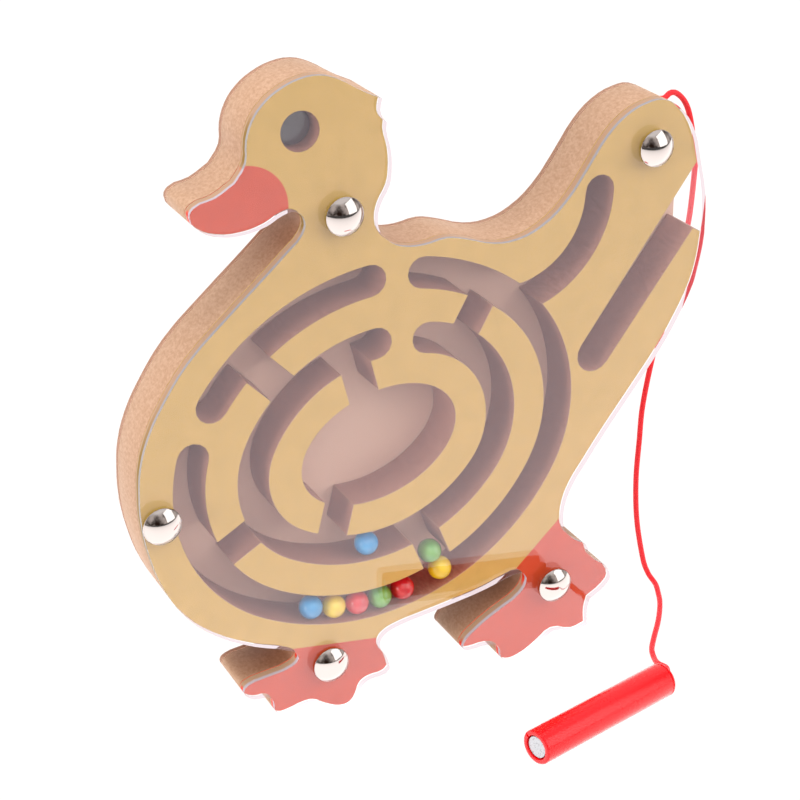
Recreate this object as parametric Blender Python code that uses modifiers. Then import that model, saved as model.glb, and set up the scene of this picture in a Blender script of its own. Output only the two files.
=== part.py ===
"""Magnetic maze board in the shape of a standing duck.

A thick fibreboard body is cut through with ring grooves. A thin back sheet is
their floor and a clear cover keeps eight small balls in. Five two-part rivets
hold the stack. A magnet pen lies in front, tied to the tail by a cord.
Metres, Z up, front face towards -Y, standing on both feet on Z = 0.
"""

import math

import bmesh
import bpy
from mathutils import Matrix, Vector

# Main sizes of the standing board.
BOARD_WIDTH = 0.1475
BOARD_HEIGHT = 0.1612
COVER_THICKNESS = 0.0028
BODY_THICKNESS = 0.0115
BACK_THICKNESS = 0.0012
FIT_GAP = 0.0003

# Grooves and the pocket in the middle.
GROOVE_WIDTH = 0.00765
BALL_DIAMETER = 0.0060
BALL_WALL_GAP = 0.00015
BALL_ROW_GAP = 0.00023
BALL_REST_GAP = 0.00014
LOW_YELLOW_AHEAD = 0.01074
SLOT_WIDTH = 0.0092

# Eye: a drilled hole with a dark plug set back in it.
EYE_DIAMETER = 0.0091
EYE_RECESS = 0.0040
EYE_ROUND = 0.0005

# Rivets.
CAP_DIAMETER = 0.0092
CAP_HEIGHT = 0.0023
CAP_RIM = 0.0005
RIVET_PIN_DIAMETER = 0.0024
RIVET_TUBE_DIAMETER = 0.0040
RIVET_TUBE_BORE = 0.0030
RIVET_HOLE = 0.0046
RIVET_TIP_CLEARANCE = 0.0005

# Pen.
PEN_DIAMETER = 0.0087
PEN_LENGTH = 0.0442
PEN_YAW_DEG = 14.4
PEN_AHEAD = 0.0298
PEN_END_X_SHARE = 0.3285
PEN_BORE = 0.0062
PEN_RIM_ROUND = 0.0005
MAGNET_DIAMETER = 0.0056
MAGNET_LENGTH = 0.0080
MAGNET_RECESS = 0.0003
PLUG_LENGTH = 0.0060
PLUG_ROUND = 0.0010
SLIT_WIDTH = 0.0005
SLIT_LENGTH = 0.0036
SLIT_TURN_DEG = 125.0

# Cord.
CORD_DIAMETER = 0.00145
CORD_BORE = 0.0021
CORD_GRIP = 0.0020
CORD_BUTT_GAP = 0.00015
KNOT_DIAMETER = 0.0026
KNOT_LENGTH = 0.0024
KNOT_ROUND = 0.0005
KNOT_TURN_DEG = 35.0
KNOT_LEAD = 0.0030

# Fineness of curved faces, and how far a cutter passes the faces it cuts.
CUT_OVERRUN = 0.0010
ARC_STEP = 0.0024
OUTLINE_STEPS = 3
TURN_STEPS = 20
SPHERE_RINGS = 10
DOME_STEPS = 5
CORD_STEP = 0.0031
CORD_CURVE_STEPS = 24
ROLL_STEP_DEG = 0.01
GATE_STEP = 0.00002
MERGE_LIMIT = 0.00001

# Outline as shares of board width and board height. Each run starts at a
# sharp corner and is smooth up to the corner that starts the next run.
OUTLINE_SHARES = (
    ("head", ((-0.323, 0.870), (-0.305, 0.894), (-0.302, 0.924), (-0.292, 0.950), (-0.274, 0.971),
              (-0.249, 0.987), (-0.216, 0.998), (-0.185, 0.9993), (-0.157, 0.991), (-0.117, 0.969))),
    ("crest tip", ((-0.086, 0.955), (-0.089, 0.943), (-0.088, 0.932))),
    ("crest back", ((-0.079, 0.921), (-0.080, 0.909), (-0.073, 0.881), (-0.072, 0.850),
                    (-0.076, 0.830), (-0.091, 0.805), (-0.096, 0.784), (-0.092, 0.766),
                    (-0.073, 0.746), (-0.051, 0.737), (-0.017, 0.734), (0.022, 0.738),
                    (0.055, 0.731), (0.105, 0.716), (0.147, 0.715), (0.190, 0.728),
                    (0.232, 0.757), (0.273, 0.805), (0.306, 0.847), (0.340, 0.874),
                    (0.378, 0.888), (0.409, 0.889), (0.446, 0.867), (0.471, 0.831))),
    ("tail", ((0.484, 0.787), (0.498, 0.728))),
    ("rump", ((0.500, 0.669), (0.495, 0.630), (0.483, 0.589), (0.454, 0.536), (0.424, 0.492),
              (0.380, 0.439), (0.322, 0.371), (0.288, 0.328), (0.261, 0.292), (0.248, 0.262),
              (0.245, 0.234), (0.249, 0.216), (0.269, 0.194), (0.292, 0.179), (0.301, 0.158))),
    ("right toes", ((0.333, 0.132), (0.344, 0.108), (0.334, 0.094))),
    ("right toe gap", ((0.304, 0.077), (0.299, 0.057))),
    ("right heel", ((0.300, 0.030), (0.275, 0.025), (0.233, 0.036), (0.201, 0.018),
                    (0.167, 0.0026), (0.143, 0.0016), (0.128, 0.014), (0.123, 0.034),
                    (0.101, 0.044), (0.067, 0.044), (0.055, 0.048), (0.055, 0.058),
                    (0.079, 0.079), (0.122, 0.102), (0.162, 0.122), (0.175, 0.140),
                    (0.173, 0.152), (0.161, 0.160), (0.137, 0.157), (0.098, 0.147),
                    (0.035, 0.137), (-0.019, 0.130), (-0.068, 0.123), (-0.092, 0.115),
                    (-0.102, 0.105), (-0.103, 0.093), (-0.092, 0.074))),
    ("left toe inner", ((-0.085, 0.051), (-0.093, 0.044), (-0.122, 0.041), (-0.137, 0.033),
                        (-0.144, 0.017), (-0.154, 0.004), (-0.171, 0.001), (-0.200, 0.013),
                        (-0.222, 0.026), (-0.240, 0.027), (-0.266, 0.022), (-0.286, 0.022),
                        (-0.295, 0.034), (-0.297, 0.049), (-0.306, 0.059), (-0.329, 0.062),
                        (-0.345, 0.073), (-0.347, 0.083), (-0.338, 0.090), (-0.308, 0.095),
                        (-0.263, 0.102), (-0.251, 0.111), (-0.252, 0.120), (-0.265, 0.130),
                        (-0.325, 0.153), (-0.389, 0.188), (-0.435, 0.229), (-0.470, 0.285),
                        (-0.490, 0.344), (-0.499, 0.398), (-0.499, 0.443), (-0.494, 0.484),
                        (-0.479, 0.527), (-0.453, 0.571), (-0.410, 0.625), (-0.342, 0.682),
                        (-0.278, 0.732), (-0.246, 0.758), (-0.220, 0.781), (-0.215, 0.800),
                        (-0.230, 0.816), (-0.250, 0.814), (-0.275, 0.803), (-0.312, 0.796),
                        (-0.351, 0.799), (-0.380, 0.812), (-0.395, 0.833), (-0.388, 0.845),
                        (-0.354, 0.854))),
)

# Board width over board height at which the rings are true circles. On a board
# of another shape the whole maze stretches with the outline.
ROUND_RATIO_SHARE = 0.9150

# Ring grooves: start point, heading, then (radius share of height, left turn).
OUTER_RING_SHARES = (-0.4067, 0.4737)
OUTER_RING_HEADING = -106.0
OUTER_RING_ARC_SHARES = ((0.2296, 76.0), (0.3296, 90.1), (0.2276, 82.1), (0.3191, 27.5))
MIDDLE_RING_SHARES = (-0.0948, 0.5927)
MIDDLE_RING_HEADING = 184.6
MIDDLE_RING_ARC_SHARES = ((0.2257, 58.3), (0.1303, 87.1), (0.2368, 81.3), (0.1428, 120.1))
SHOULDER_SHARES = (-0.1031, 0.6899)
SHOULDER_HEADING = 185.0
SHOULDER_ARC_SHARES = ((0.3342, 50.3),)
TAIL_GROOVE_SHARES = (0.1603, 0.6171)
TAIL_GROOVE_HEADING = 7.5
TAIL_GROOVE_ARC_SHARES = ((0.1500, 81.4),)
POCKET_SHARES = (-0.0919, 0.4314)
POCKET_LONG_SHARE = 0.1270
POCKET_SHORT_SHARE = 0.0862
POCKET_TILT_DEG = 15.6
POCKET_STEPS = 44

# Gates between grooves, each from one groove's middle line to the next one's.
GATE_SHARES = (
    ("shoulder gate", (-0.3132, 0.6082), (-0.2362, 0.5352)),
    ("breast gate", (-0.2912, 0.3502), (-0.3852, 0.3012)),
    ("belly gate", (-0.0202, 0.2832), (0.0198, 0.1902)),
    ("rump gate", (0.1022, 0.6492), (0.0492, 0.5652)),
    ("pocket bottom gate", (-0.1852, 0.2762), (-0.1572, 0.3772)),
    ("pocket top gate", (-0.1372, 0.5852), (-0.1102, 0.4862)),
)

# Closed end of the pen slot, and its open end past the tail. At the mouth the
# rump is cut off square: inner corner, then two points outside the outline.
SLOT_END_SHARES = (0.3022, 0.5026)
SLOT_FAR_SHARES = (0.5607, 0.8257)
SLOT_MOUTH_SHARES = ((0.4852, 0.6759), (0.5330, 0.6528), (0.6000, 0.8000))

EYE_SHARES = (-0.2128, 0.9228)

# Loose walls that only the sheets hold: a point inside each.
WALL_SEED_SHARES = (
    ("maze_wall_bottom", (-0.157, 0.210)),
    ("maze_wall_right", (0.198, 0.387)),
    ("maze_wall_inner", (-0.255, 0.437)),
)
BODY_SEED_SHARES = (-0.470, 0.390)

# Rivets: name and place.
RIVET_SHARES = (
    ("neck", (-0.1516, 0.7981)),
    ("tail", (0.3969, 0.8180)),
    ("breast", (-0.4675, 0.3893)),
    ("left_foot", (-0.1936, 0.0881)),
    ("right_foot", (0.2307, 0.1221)),
)

# Balls. The row starts at this angle round the outer ring's low arc, and each
# next ball follows by its distance.
ROW_NAMES = ("ball_row_1_blue", "ball_row_2_yellow", "ball_row_3_red", "ball_row_4_green",
             "ball_row_5_red")
ROW_FIRST_DEG = -16.1
INNER_BLUE_DEG = 0.0
OUTER_LOW_ARC_INDEX = 1
MIDDLE_LOW_ARC_INDEX = 2
GATE_GREEN_INDEX = 2

# Cord route. The first part hangs behind the tail, the rest lies on the table.
# Each point: share of width, share of height behind the back, share of height.
CORD_ROUTE_SHARES = (
    (0.486, 0.0093, 0.8517), (0.496, 0.0099, 0.8571), (0.506, 0.0099, 0.8586),
    (0.518, 0.0105, 0.8525), (0.529, 0.0105, 0.8416), (0.538, 0.0112, 0.8268),
    (0.545, 0.0112, 0.8061), (0.551, 0.0118, 0.7811), (0.554, 0.0118, 0.7566),
    (0.553, 0.0121, 0.7273), (0.550, 0.0121, 0.6786), (0.544, 0.0121, 0.6330),
    (0.524, 0.0121, 0.5469), (0.495, 0.0121, 0.4326), (0.477, 0.0121, 0.3402),
    (0.473, 0.0121, 0.2758), (0.470, 0.0121, 0.2030), (0.476, 0.0121, 0.1261),
    (0.493, 0.0121, 0.0492), (0.504, 0.0112, 0.0205), (0.509, 0.0075, 0.0105),
    (0.511, 0.0012, 0.0060), (0.508, -0.0110, 0.0052), (0.499, -0.0295, 0.0049),
    (0.480, -0.0628, 0.0048), (0.446, -0.1062, 0.0048), (0.405, -0.1505, 0.0048),
    (0.381, -0.1787, 0.0055), (0.365, -0.2097, 0.0093), (0.355, -0.2345, 0.0180),
    (0.353, -0.2587, 0.0248),
)
CORD_LEAD_SHARE = 0.009

STACK = COVER_THICKNESS + BODY_THICKNESS + BACK_THICKNESS + FIT_GAP + FIT_GAP
PEN_ANGLE = math.radians(PEN_YAW_DEG)
PEN_FRONT_REACH = (PEN_AHEAD + PEN_LENGTH * math.sin(PEN_ANGLE)
                   + PEN_DIAMETER / 2 * math.cos(PEN_ANGLE))
REAR_REACH = STACK + FIT_GAP + CAP_HEIGHT
FRONT_Y = (PEN_FRONT_REACH - REAR_REACH) / 2
COVER_BACK_Y = FRONT_Y + COVER_THICKNESS
BODY_FRONT_Y = COVER_BACK_Y + FIT_GAP
BODY_BACK_Y = BODY_FRONT_Y + BODY_THICKNESS
BACK_FRONT_Y = BODY_BACK_Y + FIT_GAP
BACK_Y = FRONT_Y + STACK
BALL_Y = COVER_BACK_Y + FIT_GAP + BALL_DIAMETER / 2

COLORS = {
    "board": (0.72, 0.50, 0.24),
    "cover": (0.90, 0.92, 0.94),
    "back": (0.36, 0.20, 0.12),
    "chrome": (0.80, 0.80, 0.82),
    "red": (0.80, 0.03, 0.03),
    "yellow": (0.85, 0.62, 0.03),
    "green": (0.05, 0.38, 0.10),
    "blue": (0.03, 0.12, 0.60),
    "magnet": (0.75, 0.76, 0.78),
    "eye": (0.02, 0.02, 0.03),
}


def clear_scene():
    for old in list(bpy.data.objects):
        bpy.data.objects.remove(old, do_unlink=True)


def make_collection(name):
    group = bpy.data.collections.new(name)
    bpy.context.scene.collection.children.link(group)
    return group


def make_material(name, color, metallic, roughness, alpha):
    made = bpy.data.materials.new(name)
    made.use_nodes = True
    shader = made.node_tree.nodes["Principled BSDF"]
    shader.inputs["Base Color"].default_value = (*color, 1)
    shader.inputs["Metallic"].default_value = metallic
    shader.inputs["Roughness"].default_value = roughness
    shader.inputs["Alpha"].default_value = alpha
    return made


def paint(item, look):
    metallic = 1 if look in ("chrome", "magnet") else 0
    roughness = 0.15 if look in ("chrome", "cover", "eye") else 0.5
    alpha = 0.35 if look == "cover" else 1
    item.data.materials.clear()
    item.data.materials.append(make_material(item.name, COLORS[look], metallic, roughness, alpha))


def place(point_shares):
    """Point of the board in the board plane, from its shares."""
    return Vector((point_shares[0] * BOARD_WIDTH, point_shares[1] * BOARD_HEIGHT))


def design(point_shares):
    """Point of the maze in units of the board height, where rings are round."""
    return Vector((point_shares[0] * ROUND_RATIO_SHARE, point_shares[1]))


def on_board(point):
    """Real place of a point given in units of the board height."""
    return place((point.x / ROUND_RATIO_SHARE, point.y))


def board_heading(angle):
    """Real heading on the board of a heading in the maze design."""
    ahead = on_board(Vector((math.cos(angle), math.sin(angle))))
    return math.atan2(ahead.y, ahead.x)


def bake(item):
    """Turns an object with its modifiers into a plain mesh object."""
    graph = bpy.context.evaluated_depsgraph_get()
    mesh = bpy.data.meshes.new_from_object(item.evaluated_get(graph))
    made = bpy.data.objects.new(item.name, mesh)
    made.matrix_world = item.matrix_world.copy()
    for group in item.users_collection:
        group.objects.link(made)
    name = item.name
    bpy.data.objects.remove(item, do_unlink=True)
    made.name = name
    work = bmesh.new()
    work.from_mesh(mesh)
    bmesh.ops.remove_doubles(work, verts=work.verts, dist=MERGE_LIMIT)
    work.to_mesh(mesh)
    work.free()
    return made


def slab_from_curve(name, data, group, y_front, y_back):
    """Closed flat curve in the board plane, thickened from y_front to y_back."""
    data.dimensions = "2D"
    data.fill_mode = "BOTH"
    data.extrude = (y_back - y_front) / 2
    item = bpy.data.objects.new(name, data)
    item.location = (0, (y_front + y_back) / 2, 0)
    item.rotation_euler = (math.pi / 2, 0, 0)
    group.objects.link(item)
    bpy.context.view_layer.update()
    return bake(item)


def slab_from_points(name, points, group, y_front, y_back):
    data = bpy.data.curves.new(name, "CURVE")
    line = data.splines.new("POLY")
    line.points.add(len(points) - 1)
    for spot, point in zip(line.points, points):
        spot.co = (point[0], point[1], 0, 1)
    line.use_cyclic_u = True
    return slab_from_curve(name, data, group, y_front, y_back)


def duck_slab(name, group, y_front, y_back):
    """Plate with the whole duck outline."""
    data = bpy.data.curves.new(name, "CURVE")
    data.resolution_u = OUTLINE_STEPS
    line = data.splines.new("BEZIER")
    corners = [(point, index == 0) for _, run in OUTLINE_SHARES for index, point in enumerate(run)]
    line.bezier_points.add(len(corners) - 1)
    for spot, (point, sharp) in zip(line.bezier_points, corners):
        spot.co = (*place(point), 0)
        spot.handle_left_type = "VECTOR" if sharp else "AUTO"
        spot.handle_right_type = "VECTOR" if sharp else "AUTO"
    line.use_cyclic_u = True
    return slab_from_curve(name, data, group, y_front, y_back)


def arc_point(middle, radius, angle):
    """Point of an arc, where its heading is the given angle."""
    return middle + Vector((math.sin(angle), -math.cos(angle))) * radius


def arc_frames(start_shares, heading_deg, arc_shares):
    """Points and headings along joined arcs, in units of the board height."""
    frames = [(design(start_shares), math.radians(heading_deg))]
    for radius_share, turn_deg in arc_shares:
        start, heading = frames[-1]
        middle = arc_point(start, -radius_share, heading)
        turn = math.radians(turn_deg)
        steps = math.ceil(radius_share * BOARD_HEIGHT * turn / ARC_STEP)
        for step in range(1, steps + 1):
            angle = heading + turn * step / steps
            frames.append((arc_point(middle, radius_share, angle), angle))
    return frames


def arc_middle(start_shares, heading_deg, arc_shares, index):
    """Centre and radius of one arc of a groove, in units of the board height."""
    start, heading = arc_frames(start_shares, heading_deg, arc_shares[:index])[-1]
    radius_share = arc_shares[index][0]
    return arc_point(start, -radius_share, heading), radius_share


def round_end(spot, heading, half):
    """Half circle round a groove end, from its right side to its left side."""
    steps = math.ceil(math.pi * half / ARC_STEP) + 1
    points = []
    for step in range(1, steps):
        angle = heading - math.pi / 2 + math.pi * step / steps
        points.append(spot + Vector((math.cos(angle), math.sin(angle))) * half)
    return points


def groove_outline(design_frames):
    """Outline of a groove of constant width along its middle line."""
    half = GROOVE_WIDTH / 2
    frames = [(on_board(spot), board_heading(turn)) for spot, turn in design_frames]
    right = [spot + Vector((math.sin(turn), -math.cos(turn))) * half for spot, turn in frames]
    left = [spot - Vector((math.sin(turn), -math.cos(turn))) * half for spot, turn in frames]
    last, last_heading = frames[-1]
    first, first_heading = frames[0]
    points = right + round_end(last, last_heading, half)
    points += list(reversed(left)) + round_end(first, first_heading + math.pi, half)
    return points


def bar_outline(start, end, width):
    """Straight bar between two points."""
    along = (end - start).normalized()
    side = Vector((-along.y, along.x)) * width / 2
    return [start - side, end - side, end + side, start + side]


def slot_outline():
    """Pen slot with a round closed end and a mouth that is open past the tail."""
    end = place(SLOT_END_SHARES)
    far = place(SLOT_FAR_SHARES)
    along = (far - end).normalized()
    side = Vector((-along.y, along.x)) * SLOT_WIDTH / 2
    cap = round_end(end, math.atan2(along.y, along.x) + math.pi, SLOT_WIDTH / 2)
    return [far + side, end + side] + cap + [end - side] + list(map(place, SLOT_MOUTH_SHARES))


def pocket_outline():
    """Oval pocket in the middle of the maze."""
    tilt = Matrix.Rotation(math.radians(POCKET_TILT_DEG), 2)
    points = []
    for step in range(POCKET_STEPS):
        angle = 2 * math.pi * step / POCKET_STEPS
        away = Vector((POCKET_LONG_SHARE * math.cos(angle), POCKET_SHORT_SHARE * math.sin(angle)))
        points.append(on_board(design(POCKET_SHARES) + tilt @ away))
    return points


def cut(item, cutter):
    """Takes the cutter's shape out of the item."""
    cutter.hide_render = True
    cutter.display_type = "WIRE"
    step = item.modifiers.new(cutter.name, "BOOLEAN")
    step.operation = "DIFFERENCE"
    step.solver = "EXACT"
    step.object = cutter


def maze_cutters(group):
    """Every groove, gate, pocket and slot that is cut through the body."""
    front = BODY_FRONT_Y - CUT_OVERRUN
    back = BODY_BACK_Y + CUT_OVERRUN
    shapes = [
        ("cut_outer_ring", groove_outline(arc_frames(
            OUTER_RING_SHARES, OUTER_RING_HEADING, OUTER_RING_ARC_SHARES))),
        ("cut_middle_ring", groove_outline(arc_frames(
            MIDDLE_RING_SHARES, MIDDLE_RING_HEADING, MIDDLE_RING_ARC_SHARES))),
        ("cut_shoulder", groove_outline(arc_frames(
            SHOULDER_SHARES, SHOULDER_HEADING, SHOULDER_ARC_SHARES))),
        ("cut_tail_groove", groove_outline(arc_frames(
            TAIL_GROOVE_SHARES, TAIL_GROOVE_HEADING, TAIL_GROOVE_ARC_SHARES))),
        ("cut_pocket", pocket_outline()),
        ("cut_slot", slot_outline()),
    ]
    for name, start, end in GATE_SHARES:
        shapes.append(("cut_" + name.replace(" ", "_"),
                       bar_outline(place(start), place(end), GROOVE_WIDTH)))
    return [slab_from_points(name, points, group, front, back) for name, points in shapes]


def drill(name, spot, diameter, group):
    """Round cutter through the whole stack."""
    bpy.ops.mesh.primitive_cylinder_add(
        vertices=TURN_STEPS, radius=diameter / 2, depth=STACK + CUT_OVERRUN + CUT_OVERRUN,
        location=(spot.x, FRONT_Y + STACK / 2, spot.y), rotation=(math.pi / 2, 0, 0))
    hole = bpy.context.object
    hole.name = "cut_hole_" + name
    move_to(hole, group)
    return hole


def rivet_holes(group):
    """One hole cutter per rivet."""
    return [drill(name, place(spot), RIVET_HOLE, group) for name, spot in RIVET_SHARES]


def move_to(item, group):
    for old in list(item.users_collection):
        old.objects.unlink(item)
    group.objects.link(item)


def keep_piece(item, seed):
    """Keeps only the loose piece that holds the corner nearest the seed."""
    work = bmesh.new()
    work.from_mesh(item.data)
    world = item.matrix_world
    near = min(work.verts, key=lambda vert: ((world @ vert.co).xz - seed).length)
    found = {near}
    front = [near]
    while front:
        vert = front.pop()
        for edge in vert.link_edges:
            other = edge.other_vert(vert)
            if other not in found:
                found.add(other)
                front.append(other)
    loose = [vert for vert in work.verts if vert not in found]
    bmesh.ops.delete(work, geom=loose, context="VERTS")
    work.to_mesh(item.data)
    work.free()


def copy_of(item, name, group):
    made = bpy.data.objects.new(name, item.data.copy())
    made.matrix_world = item.matrix_world.copy()
    group.objects.link(made)
    return made


def build_body(group, cutters, holes, eye):
    """The body with its maze cut through, then the walls that come loose."""
    plate = duck_slab("duck_body", group, BODY_FRONT_Y, BODY_BACK_Y)
    for cutter in cutters + holes + [eye]:
        cut(plate, cutter)
    plate = bake(plate)
    for name, seed in WALL_SEED_SHARES:
        wall = copy_of(plate, name, group)
        keep_piece(wall, place(seed))
        paint(wall, "board")
    keep_piece(plate, place(BODY_SEED_SHARES))
    paint(plate, "board")


def build_sheets(group, holes):
    """Clear cover in front and thin back sheet, both with the full outline."""
    layers = (("front_cover", "cover", FRONT_Y, COVER_BACK_Y),
              ("back_sheet", "back", BACK_FRONT_Y, BACK_Y))
    for name, look, front, back in layers:
        sheet = duck_slab(name, group, front, back)
        for hole in holes:
            cut(sheet, hole)
        sheet = bake(sheet)
        paint(sheet, look)


def turned(name, profile, group, matrix):
    """Solid of revolution from a profile at +X, listed from top to bottom."""
    mesh = bpy.data.meshes.new(name)
    edges = [(index, index + 1) for index in range(len(profile) - 1)]
    mesh.from_pydata([(radius, 0, height) for radius, height in profile], edges, [])
    item = bpy.data.objects.new(name, mesh)
    group.objects.link(item)
    item.matrix_world = matrix
    spin = item.modifiers.new("turn", "SCREW")
    spin.steps = TURN_STEPS
    spin.render_steps = TURN_STEPS
    spin.use_merge_vertices = True
    spin.merge_threshold = MERGE_LIMIT
    bpy.context.view_layer.update()
    return bake(item)


def round_edge(radius, bend):
    """Flat top with a rounded edge, from the axis out to the side."""
    points = [(0, 0)]
    for step in range(DOME_STEPS + 1):
        angle = math.pi / 2 * step / DOME_STEPS
        points.append((radius - bend + bend * math.sin(angle), bend * math.cos(angle) - bend))
    return points


def dome_profile():
    """Domed cap from its top to its rim, standing off the sheet by the gap."""
    points = []
    for step in range(DOME_STEPS + 1):
        angle = math.pi / 2 * step / DOME_STEPS
        points.append((CAP_DIAMETER / 2 * math.sin(angle),
                       FIT_GAP + CAP_RIM + (CAP_HEIGHT - CAP_RIM) * math.cos(angle)))
    points.append((CAP_DIAMETER / 2, FIT_GAP))
    return points


def build_rivets(group):
    """Front part with a solid pin, back part with a hollow post round it."""
    pin = RIVET_PIN_DIAMETER / 2
    tube = RIVET_TUBE_DIAMETER / 2
    bore = RIVET_TUBE_BORE / 2
    pin_end = RIVET_TIP_CLEARANCE - STACK
    tube_end = COVER_THICKNESS + FIT_GAP + RIVET_TIP_CLEARANCE - STACK
    front = dome_profile() + [(pin, FIT_GAP), (pin, pin_end), (0, pin_end)]
    back = dome_profile() + [(tube, FIT_GAP), (tube, tube_end), (bore, tube_end), (bore, 0), (0, 0)]
    for name, spot in RIVET_SHARES:
        spot = place(spot)
        ahead = Matrix.Translation((spot.x, FRONT_Y, spot.y)) @ Matrix.Rotation(math.pi / 2, 4, "X")
        behind = Matrix.Translation((spot.x, BACK_Y, spot.y)) @ Matrix.Rotation(-math.pi / 2, 4, "X")
        paint(turned("rivet_" + name + "_front", front, group, ahead), "chrome")
        paint(turned("rivet_" + name + "_back", back, group, behind), "chrome")


def build_eye(group):
    """Dark plug set back in the eye hole."""
    spot = place(EYE_SHARES)
    wide = EYE_DIAMETER / 2 - FIT_GAP
    deep = EYE_RECESS - BODY_THICKNESS
    profile = round_edge(wide, EYE_ROUND) + [(wide, deep), (0, deep)]
    ahead = Matrix.Translation((spot.x, BODY_FRONT_Y + EYE_RECESS, spot.y))
    paint(turned("eye_plug", profile, group, ahead @ Matrix.Rotation(math.pi / 2, 4, "X")), "eye")


def build_ball(name, group, centre, pivot):
    """Ball whose origin is the middle of the ring it rolls round."""
    bpy.ops.mesh.primitive_uv_sphere_add(segments=TURN_STEPS, ring_count=SPHERE_RINGS,
                                         radius=BALL_DIAMETER / 2, location=(0, 0, 0))
    ball = bpy.context.object
    ball.name = name
    move_to(ball, group)
    away = centre - pivot
    ball.data.transform(Matrix.Translation((away.x, 0, away.y)))
    ball.location = (pivot.x, BALL_Y, pivot.y)
    paint(ball, name.split("_")[-1])


def ring_spot(ring, angle_deg):
    """Place of a ball that rests on the outer wall of a ring."""
    middle, radius_share = ring
    angle = math.radians(angle_deg)
    turn = board_heading(angle)
    lift = GROOVE_WIDTH / 2 - BALL_DIAMETER / 2 - BALL_WALL_GAP
    return arc_point(on_board(arc_point(middle, radius_share, angle)), lift, turn)


def roll_on(ring, angle_deg, distance):
    """Angle further round a ring, where a ball stands that far from the first."""
    first = ring_spot(ring, angle_deg)
    while (ring_spot(ring, angle_deg) - first).length < distance:
        angle_deg += ROLL_STEP_DEG
    return angle_deg


def gate_spot(others):
    """Lowest place in the green ball's gate that is clear of the other balls."""
    _, top_shares, bottom_shares = GATE_SHARES[GATE_GREEN_INDEX]
    spot = place(bottom_shares)
    step = (place(top_shares) - spot).normalized() * GATE_STEP
    while min((spot - other).length for other in others) < BALL_DIAMETER + BALL_REST_GAP:
        spot = spot + step
    return spot


def build_balls(group):
    outer = arc_middle(OUTER_RING_SHARES, OUTER_RING_HEADING, OUTER_RING_ARC_SHARES,
                       OUTER_LOW_ARC_INDEX)
    inner = arc_middle(MIDDLE_RING_SHARES, MIDDLE_RING_HEADING, MIDDLE_RING_ARC_SHARES,
                       MIDDLE_LOW_ARC_INDEX)
    angle = ROW_FIRST_DEG
    spots = [ring_spot(outer, angle)]
    for _ in ROW_NAMES[1:]:
        angle = roll_on(outer, angle, BALL_DIAMETER + BALL_ROW_GAP)
        spots.append(ring_spot(outer, angle))
    spots.append(ring_spot(outer, roll_on(outer, angle, LOW_YELLOW_AHEAD)))
    for name, spot in zip(ROW_NAMES + ("ball_low_yellow",), spots):
        build_ball(name, group, spot, on_board(outer[0]))
    build_ball("ball_inner_blue", group, ring_spot(inner, INNER_BLUE_DEG), on_board(inner[0]))
    spot = gate_spot(spots)
    build_ball("ball_gate_green", group, spot, spot)


def pen_frame():
    """Matrix at the pen's cord end, local Z pointing away from the pen."""
    end = Vector((PEN_END_X_SHARE * BOARD_WIDTH, FRONT_Y - PEN_AHEAD, PEN_DIAMETER / 2))
    turn = Matrix.Rotation(PEN_ANGLE, 4, "Z") @ Matrix.Rotation(math.pi / 2, 4, "Y")
    return Matrix.Translation(end) @ turn


def build_pen(group, cutters):
    """Red barrel, magnet in its open end, plug with the cord hole."""
    shell = PEN_DIAMETER / 2
    bore = PEN_BORE / 2
    rim = PEN_RIM_ROUND
    inner = bore - FIT_GAP
    magnet_floor = MAGNET_RECESS + MAGNET_LENGTH + FIT_GAP - PEN_LENGTH
    barrel = [(bore, -PLUG_ROUND), (shell, -PLUG_ROUND), (shell, rim - PEN_LENGTH),
              (shell - rim, -PEN_LENGTH), (bore, -PEN_LENGTH), (bore, magnet_floor),
              (0, magnet_floor)]
    barrel = [(0, -PLUG_LENGTH - FIT_GAP), (bore, -PLUG_LENGTH - FIT_GAP)] + barrel
    item = turned("pen_barrel", barrel, group, pen_frame())
    item = cut_slit(item, cutters)
    paint(item, "red")
    top = MAGNET_RECESS - PEN_LENGTH
    magnet = [(0, top + MAGNET_LENGTH), (MAGNET_DIAMETER / 2, top + MAGNET_LENGTH),
              (MAGNET_DIAMETER / 2, top), (0, top)]
    paint(turned("pen_magnet", magnet, group, pen_frame()), "magnet")
    hole = CORD_BORE / 2
    bend = PLUG_ROUND - FIT_GAP
    plug = [(0, -PLUG_LENGTH / 2), (hole, -PLUG_LENGTH / 2), (hole, 0)]
    plug += round_edge(shell, bend)[1:] + [(inner, -bend), (inner, -PLUG_LENGTH), (0, -PLUG_LENGTH)]
    paint(turned("pen_plug", plug, group, pen_frame()), "red")


def cut_slit(item, cutters):
    """Short slit in the barrel's open end."""
    bpy.ops.mesh.primitive_cube_add(size=1)
    knife = bpy.context.object
    knife.name = "cut_slit"
    move_to(knife, cutters)
    reach = PEN_DIAMETER
    centre = Vector((reach / 2, 0, SLIT_LENGTH / 2 - PEN_LENGTH - CUT_OVERRUN / 2))
    size = Matrix.Diagonal((reach, SLIT_WIDTH, SLIT_LENGTH + CUT_OVERRUN, 1))
    turn = Matrix.Rotation(math.radians(SLIT_TURN_DEG), 4, "Z")
    knife.matrix_world = pen_frame() @ turn @ Matrix.Translation(centre) @ size
    bpy.context.view_layer.update()
    cut(item, knife)
    return bake(item)


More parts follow.
